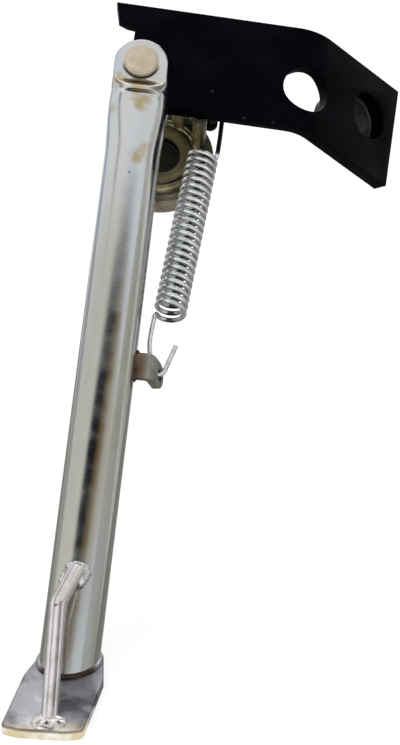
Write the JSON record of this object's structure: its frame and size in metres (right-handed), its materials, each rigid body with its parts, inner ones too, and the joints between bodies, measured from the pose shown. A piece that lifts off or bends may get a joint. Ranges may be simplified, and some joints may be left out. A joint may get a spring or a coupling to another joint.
{
  "type": "scooter side stand",
  "caption": "Tubular side stand with a bent mounting bracket, a forked pivot, a return spring, a kick rod and a flat foot plate.",
  "frame": {"origin": "point on the underside of the foot plate where the leg tube's centreline meets the ground", "axes": "+Z is square to the foot plate's sole and points up, +X runs along the plane the leg swings in, to the right as seen from the bolt's head, and -Y is the side that the bolt's head faces"},
  "size_m": [0.1599, 0.2682, 0.2094],
  "materials": {
    "black_paint": "semi-gloss black",
    "plated_tube": "dull zinc plating with stains",
    "plated_sheet": "dull zinc plating",
    "bright_zinc": "bright zinc plating",
    "dull_zinc": "dull zinc plating",
    "tan_zinc": "tan passivated zinc",
    "yellow_zinc": "olive passivated zinc",
    "weld_bead": "weld metal, heat-stained"
  },
  "bodies": {
    "bracket": {"bracket_plate": "black_paint", "flange_sleeve": "black_paint", "sleeve_weld": "black_paint", "spring_peg": "black_paint", "backing_disc": "yellow_zinc", "disc_studs": "dull_zinc", "stud_welds": "weld_bead", "disc_nuts": "dull_zinc"},
    "leg": {"pivot_bolt": "tan_zinc", "pivot_washer": "bright_zinc", "pivot_nut": "bright_zinc", "leg_tube": "plated_tube", "foot_plate": "plated_sheet", "foot_weld": "weld_bead", "kick_rod": "bright_zinc", "rod_top_weld": "weld_bead", "rod_foot_weld": "weld_bead", "hook_plate": "plated_sheet", "hook_weld": "weld_bead", "spring": "bright_zinc"}
  },
  "joints": [
    {"name": "leg_pivot", "type": "hinge", "parent": "bracket", "child": "leg", "pos_m": [0.02942, 0.17316, 0.18569], "axis": [0, 0.7314, -0.682], "range_deg": [0, 124], "stiffness_Nm_per_rad": 0.6, "springref_deg": -114.59, "deforming": ["spring"]}
  ]
}
